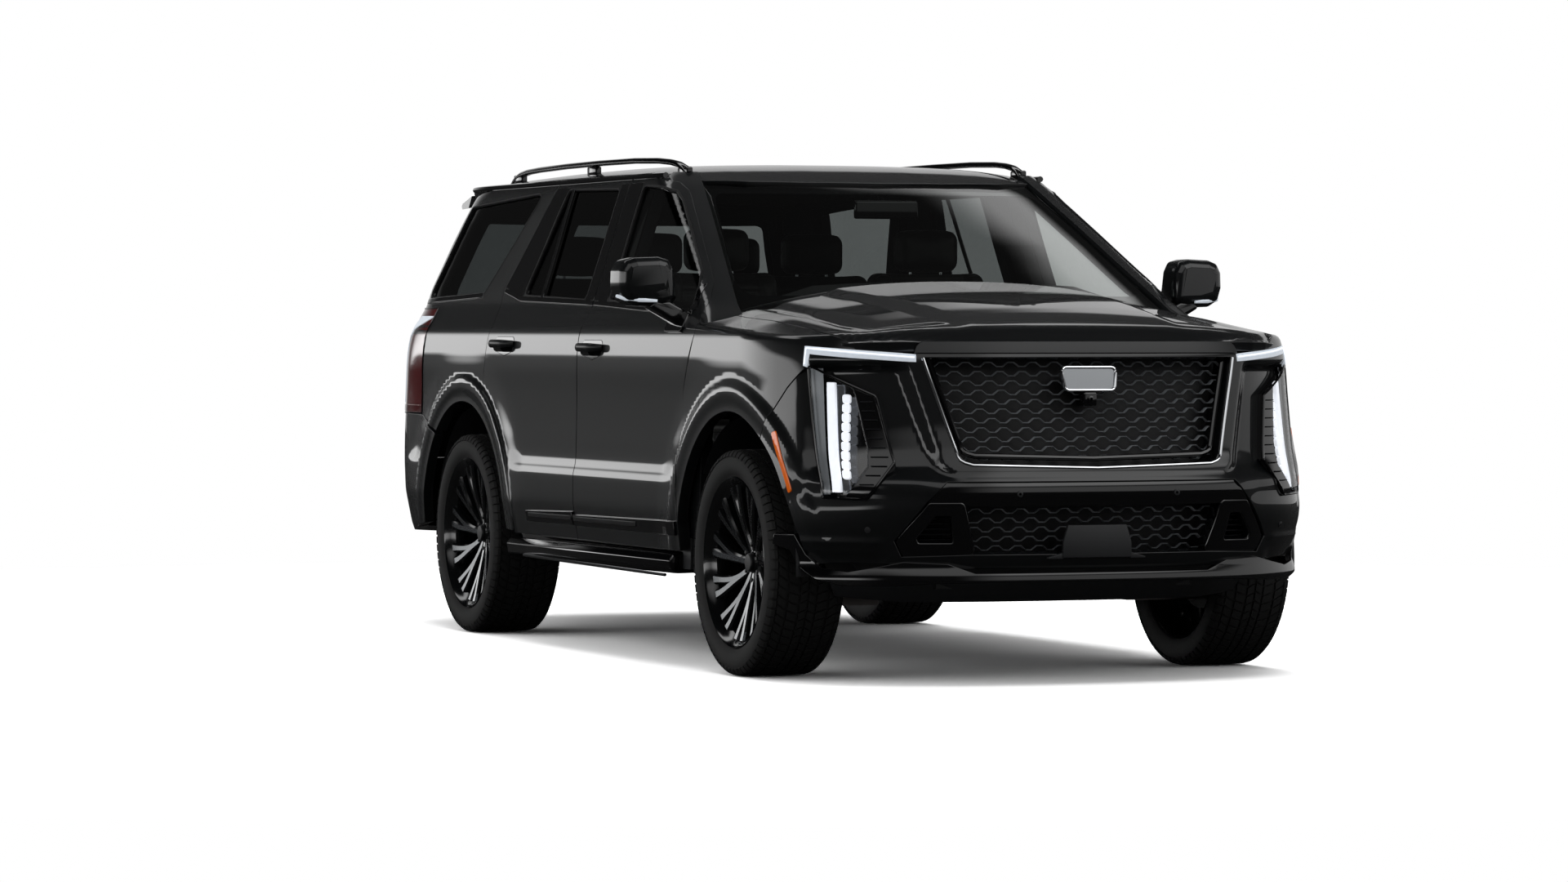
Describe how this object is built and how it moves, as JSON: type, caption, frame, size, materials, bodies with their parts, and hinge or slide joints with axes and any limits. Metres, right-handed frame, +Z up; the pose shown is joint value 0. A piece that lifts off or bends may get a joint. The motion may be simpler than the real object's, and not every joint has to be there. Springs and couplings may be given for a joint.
{
  "type": "full-size sport utility vehicle",
  "caption": "Full-size black SUV with hinged doors, hood and tailgate, steered front wheels and rolling wheels on a ladder frame",
  "frame": {"origin": "centre of the bounding box's bottom, on the ground between the wheels", "axes": "+Z up, -Y towards the front bumper, +X towards the car's left"},
  "size_m": [2.44, 5.382, 1.91],
  "materials": {
    "black_paint": "clear-coated gloss black",
    "chassis_black": "satin black chassis coating",
    "moulded_trim": "grained black plastic",
    "grille_grey": "satin grey grille inserts with a bright surround",
    "lamp_clear": "clear lamp cover",
    "lamp_red": "red lamp cover",
    "window_glass": "tinted window glass",
    "alloy": "black painted alloy with machined highlights",
    "tyre_rubber": "rubber",
    "cast_metal": "as cast",
    "iron": "as cast",
    "exhaust_steel": "stainless steel",
    "seat_leather": "dark leather",
    "cabin_trim": "soft-touch dark trim",
    "rail_black": "gloss black"
  },
  "bodies": {
    "body": {"plate_bracket": "moulded_trim", "floor_pan": "moulded_trim", "body_sides": "black_paint", "roof_panel": "black_paint", "firewall": "moulded_trim", "radiator_support": "chassis_black", "front_fenders": "black_paint", "front_bumper": "black_paint", "grille": "grille_grey", "headlamps": "lamp_clear", "rear_bumper": "black_paint", "tail_lamps": "lamp_red", "windshield": "window_glass", "quarter_windows": "window_glass", "roof_rails": "rail_black", "running_boards": "moulded_trim", "chassis_frame": "chassis_black", "front_arms": "cast_metal", "engine": "iron", "prop_shaft": "iron", "exhaust": "exhaust_steel", "fuel_tank": "chassis_black", "rear_axle": "iron", "dashboard": "cabin_trim", "centre_console": "cabin_trim", "front_seats": "seat_leather", "second_row_seats": "seat_leather", "third_row_seat": "seat_leather"},
    "front_left_door": {"front_left_door": "black_paint", "front_left_glass": "window_glass", "left_mirror": "black_paint"},
    "front_right_door": {"front_right_door": "black_paint", "front_right_glass": "window_glass", "right_mirror": "black_paint"},
    "rear_left_door": {"rear_left_door": "black_paint", "rear_left_glass": "window_glass"},
    "rear_right_door": {"rear_right_door": "black_paint", "rear_right_glass": "window_glass"},
    "hood": {"hood": "black_paint"},
    "tailgate": {"tailgate": "black_paint", "tailgate_glass": "window_glass"},
    "left_knuckle": {"left_knuckle": "cast_metal"},
    "right_knuckle": {"right_knuckle": "cast_metal"},
    "front_left_wheel": {"front_left_wheel": "alloy", "front_left_tyre": "tyre_rubber"},
    "front_right_wheel": {"front_right_wheel": "alloy", "front_right_tyre": "tyre_rubber"},
    "rear_left_wheel": {"rear_left_wheel": "alloy", "rear_left_tyre": "tyre_rubber"},
    "rear_right_wheel": {"rear_right_wheel": "alloy", "rear_right_tyre": "tyre_rubber"},
    "steering_wheel": {"steering_wheel": "cabin_trim"}
  },
  "joints": [
    {"name": "front_left_door_hinge", "type": "hinge", "parent": "body", "child": "front_left_door", "pos_m": [1.025, -1.343, 0.9], "axis": [0, 0, -1], "range_deg": [0, 65]},
    {"name": "front_right_door_hinge", "type": "hinge", "parent": "body", "child": "front_right_door", "pos_m": [-1.025, -1.343, 0.9], "axis": [0, 0, 1], "range_deg": [0, 65]},
    {"name": "rear_left_door_hinge", "type": "hinge", "parent": "body", "child": "rear_left_door", "pos_m": [1.025, -0.074, 0.9], "axis": [0, 0, -1], "range_deg": [0, 65]},
    {"name": "rear_right_door_hinge", "type": "hinge", "parent": "body", "child": "rear_right_door", "pos_m": [-1.025, -0.074, 0.9], "axis": [0, 0, 1], "range_deg": [0, 65]},
    {"name": "hood_hinge", "type": "hinge", "parent": "body", "child": "hood", "pos_m": [0, -1.4, 1.402], "axis": [-1, 0, 0], "range_deg": [0, 50]},
    {"name": "tailgate_hinge", "type": "hinge", "parent": "body", "child": "tailgate", "pos_m": [0, 2.366, 1.77], "axis": [1, 0, 0], "range_deg": [0, 85]},
    {"name": "left_steer", "type": "hinge", "parent": "body", "child": "left_knuckle", "pos_m": [0.81, -1.736, 0.405], "axis": [0, 0, 1], "range_deg": [-33, 33]},
    {"name": "right_steer", "type": "hinge", "parent": "body", "child": "right_knuckle", "pos_m": [-0.81, -1.736, 0.405], "axis": [0, 0, 1], "range_deg": [-33, 33]},
    {"name": "steering_wheel_turn", "type": "hinge", "parent": "body", "child": "steering_wheel", "pos_m": [0.44, -0.76, 1.12], "axis": [0, 0.9272, 0.3746], "range_deg": [-400, 400]},
    {"name": "front_left_spin", "type": "hinge", "parent": "left_knuckle", "child": "front_left_wheel", "pos_m": [0.87, -1.736, 0.405], "axis": [1, 0, 0], "continuous": true},
    {"name": "front_right_spin", "type": "hinge", "parent": "right_knuckle", "child": "front_right_wheel", "pos_m": [-0.87, -1.736, 0.405], "axis": [1, 0, 0], "continuous": true},
    {"name": "rear_left_spin", "type": "hinge", "parent": "body", "child": "rear_left_wheel", "pos_m": [0.87, 1.335, 0.405], "axis": [1, 0, 0], "continuous": true},
    {"name": "rear_right_spin", "type": "hinge", "parent": "body", "child": "rear_right_wheel", "pos_m": [-0.87, 1.335, 0.405], "axis": [1, 0, 0], "continuous": true}
  ],
  "couplings": [
    {"joint": "right_steer", "follows": "left_steer", "ratio": 1},
    {"joint": "steering_wheel_turn", "follows": "left_steer", "ratio": 12}
  ]
}
